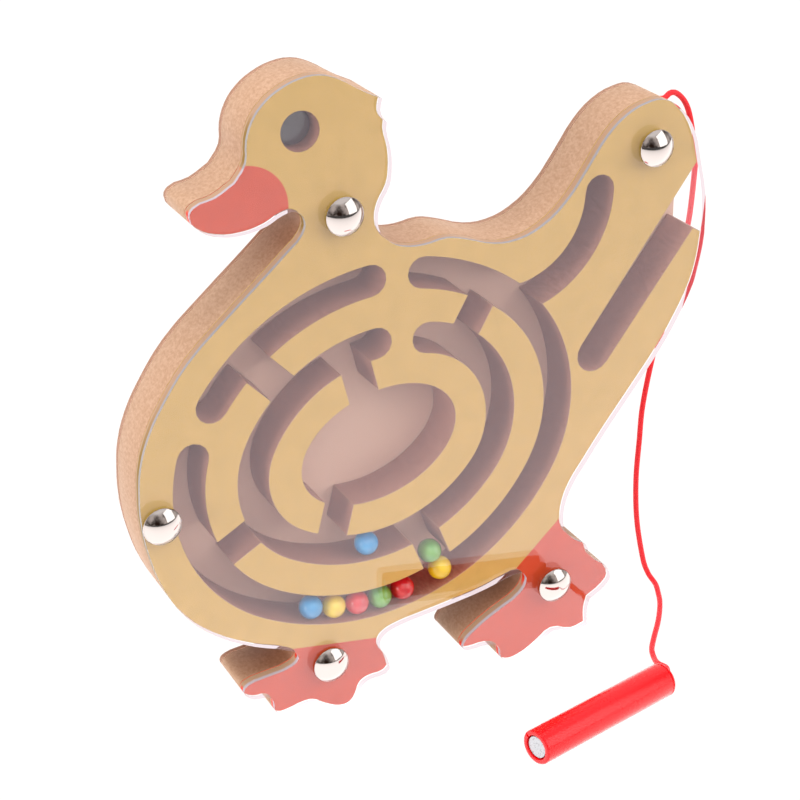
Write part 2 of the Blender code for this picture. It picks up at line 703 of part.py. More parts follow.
def smooth_route(points):
    """Points along a smooth curve through the route, evenly spaced."""
    fine = []
    ends = [points[0] * 2 - points[1]] + points + [points[-1] * 2 - points[-2]]
    for index in range(1, len(ends) - 2):
        before, start, end, after = ends[index - 1:index + 3]
        for step in range(CORD_CURVE_STEPS):
            t = step / CORD_CURVE_STEPS
            fine.append((start * 2 + (end - before) * t
                         + (before * 2 - start * 5 + end * 4 - after) * t * t
                         + (start * 3 - before - end * 3 + after) * t * t * t) / 2)
    fine.append(points[-1])
    total = sum((b - a).length for a, b in zip(fine, fine[1:]))
    count = math.ceil(total / CORD_STEP)
    route = [fine[0]]
    run = 0
    for a, b in zip(fine, fine[1:]):
        run += (b - a).length
        if run >= total / count * len(route) and len(route) < count:
            route.append(b)
    route.append(fine[-1])
    return route


def cord_points():
    """Route from the knot at the tail rivet to the hole in the pen."""
    knot = knot_frame()
    points = [knot @ Vector((0, 0, CORD_BUTT_GAP)), knot @ Vector((0, 0, KNOT_LEAD))]
    for share_x, share_y, share_z in CORD_ROUTE_SHARES:
        points.append(Vector((share_x * BOARD_WIDTH, BACK_Y + share_y * BOARD_HEIGHT,
                              share_z * BOARD_HEIGHT)))
    frame = pen_frame()
    points.append(frame @ Vector((0, 0, CORD_LEAD_SHARE * BOARD_HEIGHT)))
    points.append(frame @ Vector((0, 0, 0)))
    points.append(frame @ Vector((0, 0, -CORD_GRIP)))
    return points


def build_cord(group):
    data = bpy.data.curves.new("pen_cord", "CURVE")
    data.dimensions = "3D"
    data.bevel_depth = CORD_DIAMETER / 2
    data.bevel_resolution = 2
    data.use_fill_caps = True
    route = smooth_route(cord_points())
    line = data.splines.new("POLY")
    line.points.add(len(route) - 1)
    for spot, point in zip(line.points, route):
        spot.co = (*point, 1)
    item = bpy.data.objects.new("pen_cord", data)
    group.objects.link(item)
    bpy.context.view_layer.update()
    paint(bake(item), "red")


def knot_frame():
    """Matrix at the knot's outer end, local Z pointing along the leaving cord."""
    spot = place(dict(RIVET_SHARES)["tail"])
    turn = math.radians(KNOT_TURN_DEG)
    reach = CAP_DIAMETER / 2 + FIT_GAP + KNOT_LENGTH
    end = Vector((spot.x + reach * math.cos(turn), BACK_Y + FIT_GAP + KNOT_DIAMETER / 2,
                  spot.y + reach * math.sin(turn)))
    return Matrix.Translation(end) @ Matrix.Rotation(math.pi / 2 - turn, 4, "Y")


def build_cord_loop(group):
    """Loop of cord round the back cap of the tail rivet, with its knot."""
    spot = place(dict(RIVET_SHARES)["tail"])
    thick = CORD_DIAMETER / 2
    bpy.ops.mesh.primitive_torus_add(
        major_segments=TURN_STEPS + TURN_STEPS // 2, minor_segments=TURN_STEPS // 2,
        major_radius=CAP_DIAMETER / 2 + FIT_GAP + thick, minor_radius=thick,
        location=(spot.x, BACK_Y + FIT_GAP + thick, spot.y), rotation=(math.pi / 2, 0, 0))
    loop = bpy.context.object
    loop.name = "cord_loop"
    move_to(loop, group)
    wide = KNOT_DIAMETER / 2
    profile = [(0, 0), (wide - KNOT_ROUND, 0), (wide, -KNOT_ROUND),
               (wide, KNOT_ROUND - KNOT_LENGTH), (wide - KNOT_ROUND, -KNOT_LENGTH),
               (0, -KNOT_LENGTH)]
    knot = turned("knot", profile, group, knot_frame())
    weld = loop.modifiers.new("knot", "BOOLEAN")
    weld.operation = "UNION"
    weld.solver = "EXACT"
    weld.object = knot
    bpy.context.view_layer.update()
    loop = bake(loop)
    bpy.data.objects.remove(knot, do_unlink=True)
    paint(loop, "red")


def main():
    clear_scene()
    group = make_collection("magnetic_maze_board")
    cutters = make_collection("cutters")
    holes = rivet_holes(cutters)
    eye = drill("eye", place(EYE_SHARES), EYE_DIAMETER, cutters)
    build_body(group, maze_cutters(cutters), holes, eye)
    build_eye(group)
    build_sheets(group, holes)
    build_rivets(group)
    build_balls(group)
    build_pen(group, cutters)
    build_cord(group)
    build_cord_loop(group)


main()
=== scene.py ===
import math

import bpy
from mathutils import Matrix, Vector


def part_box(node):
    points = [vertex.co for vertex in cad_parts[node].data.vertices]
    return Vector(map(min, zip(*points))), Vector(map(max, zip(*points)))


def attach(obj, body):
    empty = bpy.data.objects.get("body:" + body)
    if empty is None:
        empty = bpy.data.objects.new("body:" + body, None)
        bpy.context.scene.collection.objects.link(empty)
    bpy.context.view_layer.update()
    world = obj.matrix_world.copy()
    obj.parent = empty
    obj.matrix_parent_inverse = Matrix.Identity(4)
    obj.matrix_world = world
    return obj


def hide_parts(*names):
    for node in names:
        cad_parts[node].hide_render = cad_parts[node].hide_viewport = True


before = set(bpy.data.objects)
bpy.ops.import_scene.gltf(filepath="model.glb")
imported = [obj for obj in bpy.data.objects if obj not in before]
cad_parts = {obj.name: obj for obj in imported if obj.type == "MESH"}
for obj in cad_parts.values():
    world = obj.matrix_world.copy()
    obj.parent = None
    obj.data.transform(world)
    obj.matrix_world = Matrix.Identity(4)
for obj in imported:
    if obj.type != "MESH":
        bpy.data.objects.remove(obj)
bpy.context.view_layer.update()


# The photograph's view. A 90 mm lens stands about 0.46 m off, to the left of
# the board's middle and above it.
photo_turn = Matrix.Rotation(math.radians(-26.0773), 4, "Z")
photo_tilt = Matrix.Rotation(math.radians(90 - 25.4483), 4, "X")
photo_roll = Matrix.Rotation(math.radians(-0.5372), 4, "Z")
bpy.ops.object.camera_add()
camera = bpy.context.object
camera.name = "photo_camera"
camera.matrix_world = (Matrix.Translation((-0.19368, -0.36395, 0.28079))
                       @ photo_turn @ photo_tilt @ photo_roll)
camera.data.sensor_width = 36
camera.data.lens = 89.97
bpy.context.scene.camera = camera
bpy.context.scene.view_settings.view_transform = "Standard"


# White photo table. It glows bright in front of the board as far as a dark edge at its front. It
# lies as a pale veil over the cover and fills the caps' lower half. Seen through the cover, it
# glows less by the board's foot: a painted contact shadow.
def linear(hex_colour):
    """An sRGB hex colour as the linear colour that a shader takes."""
    parts = [int(hex_colour[start:start + 2], 16) / 255 for start in (0, 2, 4)]
    return (*(c / 12.92 if c <= 0.04045 else ((c + 0.055) / 1.055) ** 2.4 for c in parts), 1)


def start_material(name):
    """An empty material and its node tree."""
    made = bpy.data.materials.new(name)
    made.use_nodes = True
    made.node_tree.nodes.clear()
    return made, made.node_tree


def add_node(tree, kind, settings=None, links=None):
    """Adds a node, sets its properties and sockets, and links its inputs."""
    made = tree.nodes.new("ShaderNode" + kind)
    for name, value in (settings or {}).items():
        if isinstance(name, str) and hasattr(made, name):
            setattr(made, name, value)
        else:
            made.inputs[name].default_value = value
    for name, source in (links or {}).items():
        tree.links.new(source, made.inputs[name])
    return made


def show(tree, shader):
    """Ends a material with its surface shader."""
    add_node(tree, "OutputMaterial", {}, {"Surface": shader})


table_white, tree = start_material("white_table_paper")
place = add_node(tree, "TexCoord")
axes = add_node(tree, "SeparateXYZ", {}, {"Vector": place.outputs["Object"]})
path = add_node(tree, "LightPath")
front = add_node(tree, "MapRange", {"From Min": -0.50, "From Max": -0.02, "To Min": 1.45,
                                    "To Max": 2.4}, {"Value": axes.outputs["Y"]})
fade = add_node(tree, "MapRange", {"From Min": -0.58, "From Max": -0.51, "To Min": 0.08,
                                   "interpolation_type": "SMOOTHSTEP"},
                {"Value": axes.outputs["Y"]})
mirrored = add_node(tree, "Math", {"operation": "MULTIPLY"},
                    {0: front.outputs["Result"], 1: fade.outputs["Result"]})
# Painted contact shadow: seen through the cover, the table glows less in front of the board's
# foot.
behind = add_node(tree, "MapRange", {"From Min": 0.0, "From Max": 0.03},
                  {"Value": axes.outputs["Y"]})
through_cover_painted_contact_shadow = add_node(tree, "Math", {"operation": "MULTIPLY"},
                   {0: path.outputs["Is Transmission Ray"], 1: behind.outputs["Result"]})
direct = add_node(tree, "Math", {"operation": "MAXIMUM"},
                  {0: path.outputs["Is Camera Ray"], 1: through_cover_painted_contact_shadow.outputs[0]})
bounced = add_node(tree, "MapRange", {"From Min": -0.35, "From Max": -0.05, "To Min": 0.2,
                                      "To Max": 0.8}, {"Value": axes.outputs["Y"]})
by_ray = add_node(tree, "Mix", {}, {0: path.outputs["Is Glossy Ray"],
                                    2: bounced.outputs["Result"], 3: mirrored.outputs[0]})
glow = add_node(tree, "Mix", {3: 1.1}, {0: direct.outputs[0], 2: by_ray.outputs[0]})
light = add_node(tree, "Emission", {"Color": linear("FFFBF9")}, {"Strength": glow.outputs[0]})
show(tree, light.outputs[0])
bpy.ops.mesh.primitive_plane_add(size=8, location=(0, 0, -0.0001))
table = bpy.context.object
table.name = "white_table"
table.data.materials.append(table_white)

# Studio light: the camera and the clear cover see a white room. What is glossy
# sees a white wall behind the board and a dim mottled room in front of it, with
# the photographer as a darker patch.
def colour_ramp(tree, source, *stops):
    """A ramp through colours, each stop being a position and a hex colour."""
    made = add_node(tree, "ValToRGB", {}, {"Fac": source})
    elements = made.color_ramp.elements
    for position, colour in stops[1:-1]:
        elements.new(position).color = linear(colour)
    for index, (position, colour) in ((0, stops[0]), (len(stops) - 1, stops[-1])):
        elements[index].position = position
        elements[index].color = linear(colour)
    return made


world = bpy.data.worlds.new("studio")
bpy.context.scene.world = world
world.use_nodes = True
tree = world.node_tree
tree.nodes.clear()
path = add_node(tree, "LightPath")
way = add_node(tree, "TexCoord")
axes = add_node(tree, "SeparateXYZ", {}, {"Vector": way.outputs["Generated"]})
clutter = add_node(tree, "TexNoise", {"Scale": 2.6, "Detail": 4},
                   {"Vector": way.outputs["Generated"]})
room = colour_ramp(tree, clutter.outputs["Fac"], (0.4, "3A302A"), (0.62, "D8CFCA"))
photographer_way = (-0.2, -0.96, 0.14)
apart = add_node(tree, "VectorMath", {"operation": "DISTANCE", 1: photographer_way},
                 {0: way.outputs["Generated"]})
shade = add_node(tree, "MapRange", {"From Min": 0.10, "From Max": 0.5, "To Min": 0.85,
                                    "To Max": 0}, {"Value": apart.outputs["Value"]})
dark_room = add_node(tree, "Mix", {"data_type": "RGBA", 7: linear("2C1C14")},
                     {0: shade.outputs["Result"], 6: room.outputs["Color"]})
behind = add_node(tree, "MapRange", {"From Min": 0.0, "From Max": 0.2},
                  {"Value": axes.outputs["Y"]})
above = add_node(tree, "MapRange", {"From Min": 0.62, "From Max": 0.74},
                 {"Value": axes.outputs["Z"]})
bright_side = add_node(tree, "Math", {"operation": "MAXIMUM"},
                       {0: behind.outputs["Result"], 1: above.outputs["Result"]})
around = add_node(tree, "Mix", {"data_type": "RGBA", 7: linear("FFFCFA")},
                  {0: bright_side.outputs[0], 6: dark_room.outputs[2]})
dim = add_node(tree, "Background", {"Color": linear("E6E6E8"), "Strength": 0.55})
mirror = add_node(tree, "Background", {"Strength": 1.3}, {"Color": around.outputs[2]})
white = add_node(tree, "Background", {"Color": (1, 1, 1, 1), "Strength": 1.2})
open_ray = add_node(tree, "Math", {"operation": "MAXIMUM"},
                    {0: path.outputs["Is Camera Ray"], 1: path.outputs["Is Transmission Ray"]})
seen = add_node(tree, "MixShader", {}, {0: path.outputs["Is Glossy Ray"], 1: dim.outputs[0],
                                        2: mirror.outputs[0]})
shown = add_node(tree, "MixShader", {}, {0: open_ray.outputs[0], 1: seen.outputs[0],
                                         2: white.outputs[0]})
add_node(tree, "OutputWorld", {}, {"Surface": shown.outputs[0]})

# Soft boxes: one in front, one low at the left and one overhead give the light.
# The tall window at the right is the bright patch in the rivet caps.
board_middle = Vector((0, 0, 0.08))
soft_boxes = (
    ("front_soft_box", (-0.25, -0.85, 0.75), (0.90, 0.90), 4.6, False),
    ("left_low_box", (-1.00, -0.12, 0.06), (0.60, 0.60), 14, False),
    ("right_window", (0.70, -0.71, 0.50), (0.82, 0.90), 5.5, True),
    ("top_soft_box", (0.05, 0.10, 1.10), (0.70, 0.70), 9, False),
)
for name, spot, size, watts, mirrored in soft_boxes:
    aim = board_middle - Vector(spot)
    bpy.ops.object.light_add(type="AREA", location=spot,
                             rotation=aim.to_track_quat("-Z", "Y").to_euler())
    lamp = bpy.context.object
    lamp.name = name
    lamp.data.shape = "RECTANGLE"
    lamp.data.size = size[0]
    lamp.data.size_y = size[1]
    lamp.data.energy = watts
    lamp.visible_glossy = mirrored


# Pen: a moulded red polystyrene tube with a magnet in its open end. A short
# slit lets the mouth spring round the magnet, and a plug closes the cord end.
pen_end = Vector((0.0484538, -0.0166473, 0.00435))
pen_yaw = math.radians(14.4)
pen_ahead = Vector((math.cos(pen_yaw), math.sin(pen_yaw), 0))
pen_radius = 0.00435
pen_length = 0.0442
pen_bore = 0.0031
pen_bore_floor = 0.0356
pen_mouth_bend = 0.0005
pen_mouth_lip = 0.0002
pen_seam_bend = 0.0001
plug_length = 0.0060
plug_head = 0.0010
plug_bend = 0.0007
plug_play = 0.0003
slit_turn = math.radians(125)
slit_width = 0.0005
slit_length = 0.0036
slit_overcut = 0.0005
cord_hole = 0.00105
cord_hole_bend = 0.0003
pen_place = (Matrix.Translation(pen_end) @ Matrix.Rotation(pen_yaw, 4, "Z")
             @ Matrix.Rotation(math.pi / 2, 4, "Y"))


def speckle(tree, place, scale, detail, settings=None):
    """Noise in object space, in grains of 1 / scale metres."""
    return add_node(tree, "TexNoise", {"Scale": scale, "Detail": detail, **(settings or {})},
                    {"Vector": place.outputs["Object"]})


red_plastic, tree = start_material("moulded_red_polystyrene")
place = add_node(tree, "TexCoord")
flow = speckle(tree, place, 160, 3)
tone = colour_ramp(tree, flow.outputs["Fac"], (0, "F40A14"), (1, "FC121C"))
scratches = add_node(tree, "MapRange", {"To Min": 0.2, "To Max": 0.34},
                     {"Value": flow.outputs["Fac"]})
look = add_node(tree, "BsdfPrincipled",
                {"IOR": 1.55, "Specular IOR Level": 0.3, "Subsurface Weight": 0.12,
                 "Subsurface Radius": (1, 0.2, 0.15), "Subsurface Scale": 0.001},
                {"Base Color": tone.outputs["Color"], "Roughness": scratches.outputs["Result"]})
show(tree, look.outputs["BSDF"])


def select_only(piece):
    """Makes a piece the only selected one, and the active one."""
    bpy.ops.object.select_all(action="DESELECT")
    piece.select_set(True)
    bpy.context.view_layer.objects.active = piece


def turn_piece(name, profile, steps):
    """A piece turned round the pen's axis from its profile, ends closed."""
    bpy.ops.object.select_all(action="DESELECT")
    bpy.ops.mesh.primitive_plane_add(size=0.001)
    piece = bpy.context.object
    piece.name = name
    bpy.ops.object.mode_set(mode="EDIT")
    bpy.ops.mesh.select_mode(type="VERT")
    bpy.ops.mesh.select_all(action="SELECT")
    bpy.ops.mesh.merge(type="CENTER")
    bpy.ops.transform.translate(value=(profile[0][0], 0, profile[0][1]))
    for start, end in zip(profile, profile[1:]):
        bpy.ops.mesh.extrude_vertices_move(
            TRANSFORM_OT_translate={"value": (end[0] - start[0], 0, end[1] - start[1])})
    bpy.ops.mesh.select_all(action="SELECT")
    bpy.ops.mesh.spin(steps=steps, angle=2 * math.pi, center=(0, 0, 0), axis=(0, 0, 1))
    bpy.ops.mesh.select_all(action="SELECT")
    bpy.ops.mesh.remove_doubles(threshold=0.000005)
    bpy.ops.mesh.normals_make_consistent(inside=False)
    bpy.ops.object.mode_set(mode="OBJECT")
    return piece


def corner_arc(radius, height, bend, start_deg, end_deg):
    """Points round an edge of a turned piece, from one angle to the next."""
    angles = [math.radians(start_deg + (end_deg - start_deg) * part / 5) for part in range(6)]
    return [(radius + bend * math.cos(angle), height + bend * math.sin(angle))
            for angle in angles]


def smooth_by_angle():
    """Smooths the active piece, apart from its edges over 32 degrees."""
    bpy.ops.object.shade_smooth_by_angle(angle=math.radians(32))


barrel_profile = ([(0, -plug_length - plug_play), (pen_bore, -plug_length - plug_play),
                   (pen_bore, -plug_head)]
                  + corner_arc(pen_radius - pen_seam_bend, -plug_head - pen_seam_bend,
                               pen_seam_bend, 90, 0)
                  + corner_arc(pen_radius - pen_mouth_bend, pen_mouth_bend - pen_length,
                               pen_mouth_bend, 0, -90)
                  + corner_arc(pen_bore + pen_mouth_lip, pen_mouth_lip - pen_length,
                               pen_mouth_lip, -90, -180)
                  + [(pen_bore, -pen_bore_floor), (0, -pen_bore_floor)])
barrel = turn_piece("pen_tube", barrel_profile, 64)
bpy.ops.mesh.primitive_cube_add(size=1)
knife = bpy.context.object
knife.matrix_world = (Matrix.Rotation(slit_turn, 4, "Z")
                      @ Matrix.Translation((pen_radius, 0,
                                            slit_length / 2 - pen_length - slit_overcut))
                      @ Matrix.Diagonal((pen_radius * 2, slit_width,
                                         slit_length + slit_overcut * 2, 1)))
select_only(barrel)
slit = barrel.modifiers.new("slit", "BOOLEAN")
slit.object = knife
slit.solver = "EXACT"
bpy.ops.object.modifier_apply(modifier=slit.name)
bpy.data.objects.remove(knife, do_unlink=True)
smooth_by_angle()
barrel.data.transform(pen_place)
barrel.data.materials.append(red_plastic)
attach(barrel, "pen")
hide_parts("pen_barrel")

plug_seam = 0.0002
plug_profile = ([(0, -plug_length / 2), (cord_hole, -plug_length / 2),
                 (cord_hole, -cord_hole_bend)]
                + corner_arc(cord_hole + cord_hole_bend, -cord_hole_bend, cord_hole_bend, 180, 90)
                + corner_arc(pen_radius - plug_bend, -plug_bend, plug_bend, 90, 0)
                + [(pen_radius, plug_seam - plug_head),
                   (pen_bore - plug_play, plug_seam - plug_head),
                   (pen_bore - plug_play, -plug_length), (0, -plug_length)])
plug = turn_piece("pen_end_plug", plug_profile, 64)
smooth_by_angle()
plug.data.transform(pen_place)
plug.data.materials.append(red_plastic)
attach(plug, "pen")
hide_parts("pen_plug")

# Magnet: a nickel-plated rod, sunk a little below the mouth. Its end is dull
# and freckled, where grit sticks to it.
magnet_nickel, tree = start_material("dull_nickel_magnet")
place = add_node(tree, "TexCoord")
freckles = add_node(tree, "TexVoronoi", {"Scale": 1700}, {"Vector": place.outputs["Object"]})
tone = colour_ramp(tree, freckles.outputs["Distance"], (0.08, "74767A"), (0.4, "A6A8AC"))
pits = add_node(tree, "Bump", {"Strength": 0.5, "Distance": 0.0001},
                {"Height": freckles.outputs["Distance"]})
look = add_node(tree, "BsdfPrincipled", {"Metallic": 0.75, "Roughness": 0.38},
                {"Base Color": tone.outputs["Color"], "Normal": pits.outputs["Normal"]})
show(tree, look.outputs["BSDF"])
magnet_radius = 0.0028
magnet_length = 0.008
magnet_recess = 0.0003
magnet_bend = 0.0002
magnet_end = magnet_recess - pen_length
magnet_profile = ([(0, magnet_end + magnet_length)]
                  + corner_arc(magnet_radius - magnet_bend,
                               magnet_end + magnet_length - magnet_bend, magnet_bend, 90, 0)
                  + corner_arc(magnet_radius - magnet_bend, magnet_end + magnet_bend,
                               magnet_bend, 0, -90)
                  + [(0, magnet_end)])
magnet = turn_piece("pen_magnet_rod", magnet_profile, 48)
smooth_by_angle()
magnet.data.transform(pen_place)
magnet.data.materials.append(magnet_nickel)
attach(magnet, "pen")
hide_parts("pen_magnet")


# Cord: about a fifth of a metre of 1.45 mm braided red polyester. It is knotted
# to the loop behind the tail, hangs down behind the board, runs forward over
# the table and goes into the hole in the pen's end.
board_width = 0.1475
board_height = 0.1612
board_front = 0.0131527
board_back = 0.0292527
cord_diameter = 0.00145
cord_step = 0.0008
knot_end = Vector((0.0645226, 0.0308527, 0.1360487))
knot_rise = math.radians(35)
knot_ahead = Vector((math.cos(knot_rise), 0, math.sin(knot_rise)))
cord_route_shares = (
    (0.486, 0.0093, 0.8517), (0.496, 0.0099, 0.8571), (0.506, 0.0099, 0.8586),
    (0.518, 0.0105, 0.8525), (0.529, 0.0105, 0.8416), (0.538, 0.0112, 0.8268),
    (0.545, 0.0112, 0.8061), (0.551, 0.0118, 0.7811), (0.554, 0.0118, 0.7566),
    (0.553, 0.0121, 0.7273), (0.550, 0.0121, 0.6786), (0.544, 0.0121, 0.6330),
    (0.524, 0.0121, 0.5469), (0.495, 0.0121, 0.4326), (0.477, 0.0121, 0.3402),
    (0.473, 0.0121, 0.2758), (0.470, 0.0121, 0.2030), (0.476, 0.0121, 0.1261),
    (0.493, 0.0121, 0.0492), (0.504, 0.0112, 0.0205), (0.509, 0.0075, 0.0105),
    (0.511, 0.0012, 0.0060), (0.508, -0.0110, 0.0052), (0.499, -0.0295, 0.0049),
    (0.480, -0.0628, 0.0048), (0.446, -0.1062, 0.0048), (0.405, -0.1505, 0.0048),
    (0.381, -0.1787, 0.0055), (0.365, -0.2097, 0.0093), (0.355, -0.2345, 0.0180),
    (0.353, -0.2587, 0.0248),
)
cord_stops = [knot_end + knot_ahead * 0.00015, knot_end + knot_ahead * 0.003]
cord_stops += [Vector((x * board_width, board_back + y * board_height, z * board_height))
               for x, y, z in cord_route_shares]
cord_stops += [pen_end + pen_ahead * 0.009 * board_height, pen_end,
               pen_end - pen_ahead * 0.002]


def smooth_line(stops, step):
    """Evenly spaced points on one smooth curve through all the stops."""
    parts = 24
    fine = []
    ends = [stops[0] * 2 - stops[1]] + stops + [stops[-1] * 2 - stops[-2]]
    for before, start, end, after in zip(ends, ends[1:], ends[2:], ends[3:]):
        for part in range(parts):
            t = part / parts
            fine.append((start * 2 + (end - before) * t
                         + (before * 2 - start * 5 + end * 4 - after) * t * t
                         + (start * 3 - before - end * 3 + after) * t * t * t) / 2)
    fine.append(stops[-1])
    total = sum((b - a).length for a, b in zip(fine, fine[1:]))
    count = math.ceil(total / step)
    line = [fine[0]]
    run = 0
    for a, b in zip(fine, fine[1:]):
        run += (b - a).length
        if run >= total / count * len(line) and len(line) < count:
            line.append(b)
    return line + [fine[-1]]


# Braided polyester: strands cross every 0.7 mm. Its colour is lighter at each strand's crown and
# darker between strands, a painted highlight and painted shade that give small bright and dark
# diamonds along the cord. Its sides have a soft sheen.
cord_red, tree = start_material("braided_red_polyester")
place = add_node(tree, "TexCoord")
strands = add_node(tree, "TexVoronoi", {"Scale": 1500, "Randomness": 0.35},
                   {"Vector": place.outputs["Object"]})
fuzz = speckle(tree, place, 5200, 2)
# Painted highlight and shade: lighter at each strand's crown, darker between strands.
tone = colour_ramp(tree, strands.outputs["Distance"], (0, "FF2834"), (0.75, "E8101C"))
weave = add_node(tree, "Bump", {"Strength": 0.5, "Distance": 0.00012, "invert": True},
                 {"Height": strands.outputs["Distance"]})
hairs = add_node(tree, "Bump", {"Strength": 0.25, "Distance": 0.00004},
                 {"Height": fuzz.outputs["Fac"], "Normal": weave.outputs["Normal"]})
look = add_node(tree, "BsdfPrincipled",
                {"Roughness": 0.62, "Sheen Weight": 0.35, "Sheen Roughness": 0.4,
                 "Sheen Tint": linear("FFB0B0")},
                {"Base Color": tone.outputs["Color"], "Normal": hairs.outputs["Normal"]})
show(tree, look.outputs["BSDF"])

cord_points = smooth_line(cord_stops, cord_step)
cord_curve = bpy.data.curves.new("red_cord", "CURVE")
cord_curve.dimensions = "3D"
cord_curve.bevel_depth = cord_diameter / 2
cord_curve.bevel_resolution = 4
cord_curve.use_fill_caps = True
cord_line = cord_curve.splines.new("POLY")
cord_line.points.add(len(cord_points) - 1)
for spot, point in zip(cord_line.points, cord_points):
    spot.co = (*point, 1)
cord_line.use_smooth = True
cord = bpy.data.objects.new("red_cord", cord_curve)
bpy.context.collection.objects.link(cord)
cord.data.materials.append(cord_red)
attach(cord, "board")
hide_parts("pen_cord")


# Board: one 11.5 mm fibreboard plate cut by laser. Its front is screen printed
# tan, with red beak and feet, and the laser leaves all cut faces brown.
def copy_mesh(name, source):
    """A new object with its own copy of another one's mesh."""
    piece = bpy.data.objects.new(name, source.data.copy())
    bpy.context.collection.objects.link(piece)
    return piece


def layer_copy(name, node):
    """A copy of a flat CAD layer with its loose triangles joined."""
    piece = copy_mesh(name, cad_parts[node])
    select_only(piece)
    bpy.ops.mesh.customdata_custom_splitnormals_clear()
    bpy.ops.object.mode_set(mode="EDIT")
    bpy.ops.mesh.select_all(action="SELECT")
    bpy.ops.mesh.remove_doubles(threshold=0.00001)
    bpy.ops.mesh.dissolve_limited(angle_limit=math.radians(0.2))
    bpy.ops.object.mode_set(mode="OBJECT")
    piece.data.materials.clear()
    return piece


def soften(piece, width, steps, finish=-1):
    """Rounds the sharp edges of a piece and smooths its curved faces.

    The rounded edges take the material in slot finish, or their neighbour's.
    """
    select_only(piece)
    edge = piece.modifiers.new("soft_edges", "BEVEL")
    edge.width = width
    edge.segments = steps
    edge.limit_method = "ANGLE"
    edge.angle_limit = math.radians(50)
    edge.use_clamp_overlap = False
    edge.loop_slide = False
    edge.miter_outer = "MITER_ARC"
    edge.material = finish
    bpy.ops.object.modifier_apply(modifier=edge.name)
    smooth_by_angle()
    for face in piece.data.polygons:
        if abs(face.normal.y) > 0.999:
            face.use_smooth = False


# Print: two flat inks under a thin matt varnish. The beak is edged by a circle
# and the feet by short straight lines. A faint mottle comes from the board.
ink_blur = 0.00006
left_foot_line = ((-0.0369, 0.0199), (-0.0151, 0.0168))
right_foot_line = ((0.0234, 0.0256), (0.0359, 0.0372))
between_feet = -0.006
beak_middle = (-0.0451, 0.1326, 0)
beak_radius = 0.01045
beak_top = 0.1430
beak_bottom = 0.118


def below_line(tree, flat, start, end):
    """1 on the right-hand side of a line across the face, 0 on its left."""
    side = Vector((end[1] - start[1], start[0] - end[0])).normalized()
    reach = side.dot(Vector(start))
    along = add_node(tree, "VectorMath", {"operation": "DOT_PRODUCT", 1: (side.x, side.y, 0)},
                     {0: flat.outputs["Vector"]})
    return add_node(tree, "MapRange", {"From Min": reach - ink_blur,
                                       "From Max": reach + ink_blur},
                    {"Value": along.outputs["Value"]})


def join(tree, way, first, second):
    """Two masks joined: both at once, or either of them."""
    return add_node(tree, "Math", {"operation": way}, {0: first.outputs[0], 1: second.outputs[0]})


def red_ink_mask(tree, place):
    """1 on the beak and both feet, 0 elsewhere."""
    axes = add_node(tree, "SeparateXYZ", {}, {"Vector": place.outputs["Object"]})
    flat = add_node(tree, "CombineXYZ", {}, {"X": axes.outputs["X"], "Y": axes.outputs["Z"]})
    left_half = add_node(tree, "Math", {"operation": "LESS_THAN", 1: between_feet},
                         {0: axes.outputs["X"]})
    right_half = add_node(tree, "Math", {"operation": "GREATER_THAN", 1: between_feet},
                          {0: axes.outputs["X"]})
    left_foot = join(tree, "MULTIPLY", left_half, below_line(tree, flat, *left_foot_line))
    right_foot = join(tree, "MULTIPLY", right_half, below_line(tree, flat, *right_foot_line))
    beak_reach = add_node(tree, "VectorMath", {"operation": "DISTANCE", 1: beak_middle},
                          {0: flat.outputs["Vector"]})
    beak_round = add_node(tree, "MapRange", {"From Min": beak_radius - ink_blur,
                                             "From Max": beak_radius + ink_blur,
                                             "To Min": 1, "To Max": 0},
                          {"Value": beak_reach.outputs["Value"]})
    beak_left = add_node(tree, "Math", {"operation": "LESS_THAN", 1: beak_middle[0]},
                         {0: axes.outputs["X"]})
    beak_under = add_node(tree, "Math", {"operation": "LESS_THAN", 1: beak_top},
                          {0: axes.outputs["Z"]})
    beak_over = add_node(tree, "Math", {"operation": "GREATER_THAN", 1: beak_bottom},
                         {0: axes.outputs["Z"]})
    beak_tip = join(tree, "MULTIPLY", beak_left, join(tree, "MULTIPLY", beak_under, beak_over))
    return join(tree, "MAXIMUM", join(tree, "MAXIMUM", left_foot, right_foot),
                join(tree, "MAXIMUM", beak_round, beak_tip))


board_print, tree = start_material("screen_printed_fibreboard")
place = add_node(tree, "TexCoord")
red_ink = red_ink_mask(tree, place)
mottle = speckle(tree, place, 260, 6, {"Roughness": 0.6})
tan = colour_ramp(tree, mottle.outputs["Fac"], (0.35, "CAA04F"), (0.65, "D3A756"))
red = colour_ramp(tree, mottle.outputs["Fac"], (0.35, "C94010"), (0.65, "D2461A"))
inks = add_node(tree, "Mix", {"data_type": "RGBA"},
                {0: red_ink.outputs[0], 6: tan.outputs["Color"], 7: red.outputs["Color"]})
grit = speckle(tree, place, 3000, 2)
grain = add_node(tree, "Bump", {"Strength": 0.03, "Distance": 0.00002},
                 {"Height": grit.outputs["Fac"]})
look = add_node(tree, "BsdfPrincipled", {"Roughness": 0.55},
                {"Base Color": inks.outputs[2], "Normal": grain.outputs["Normal"]})
show(tree, look.outputs["BSDF"])


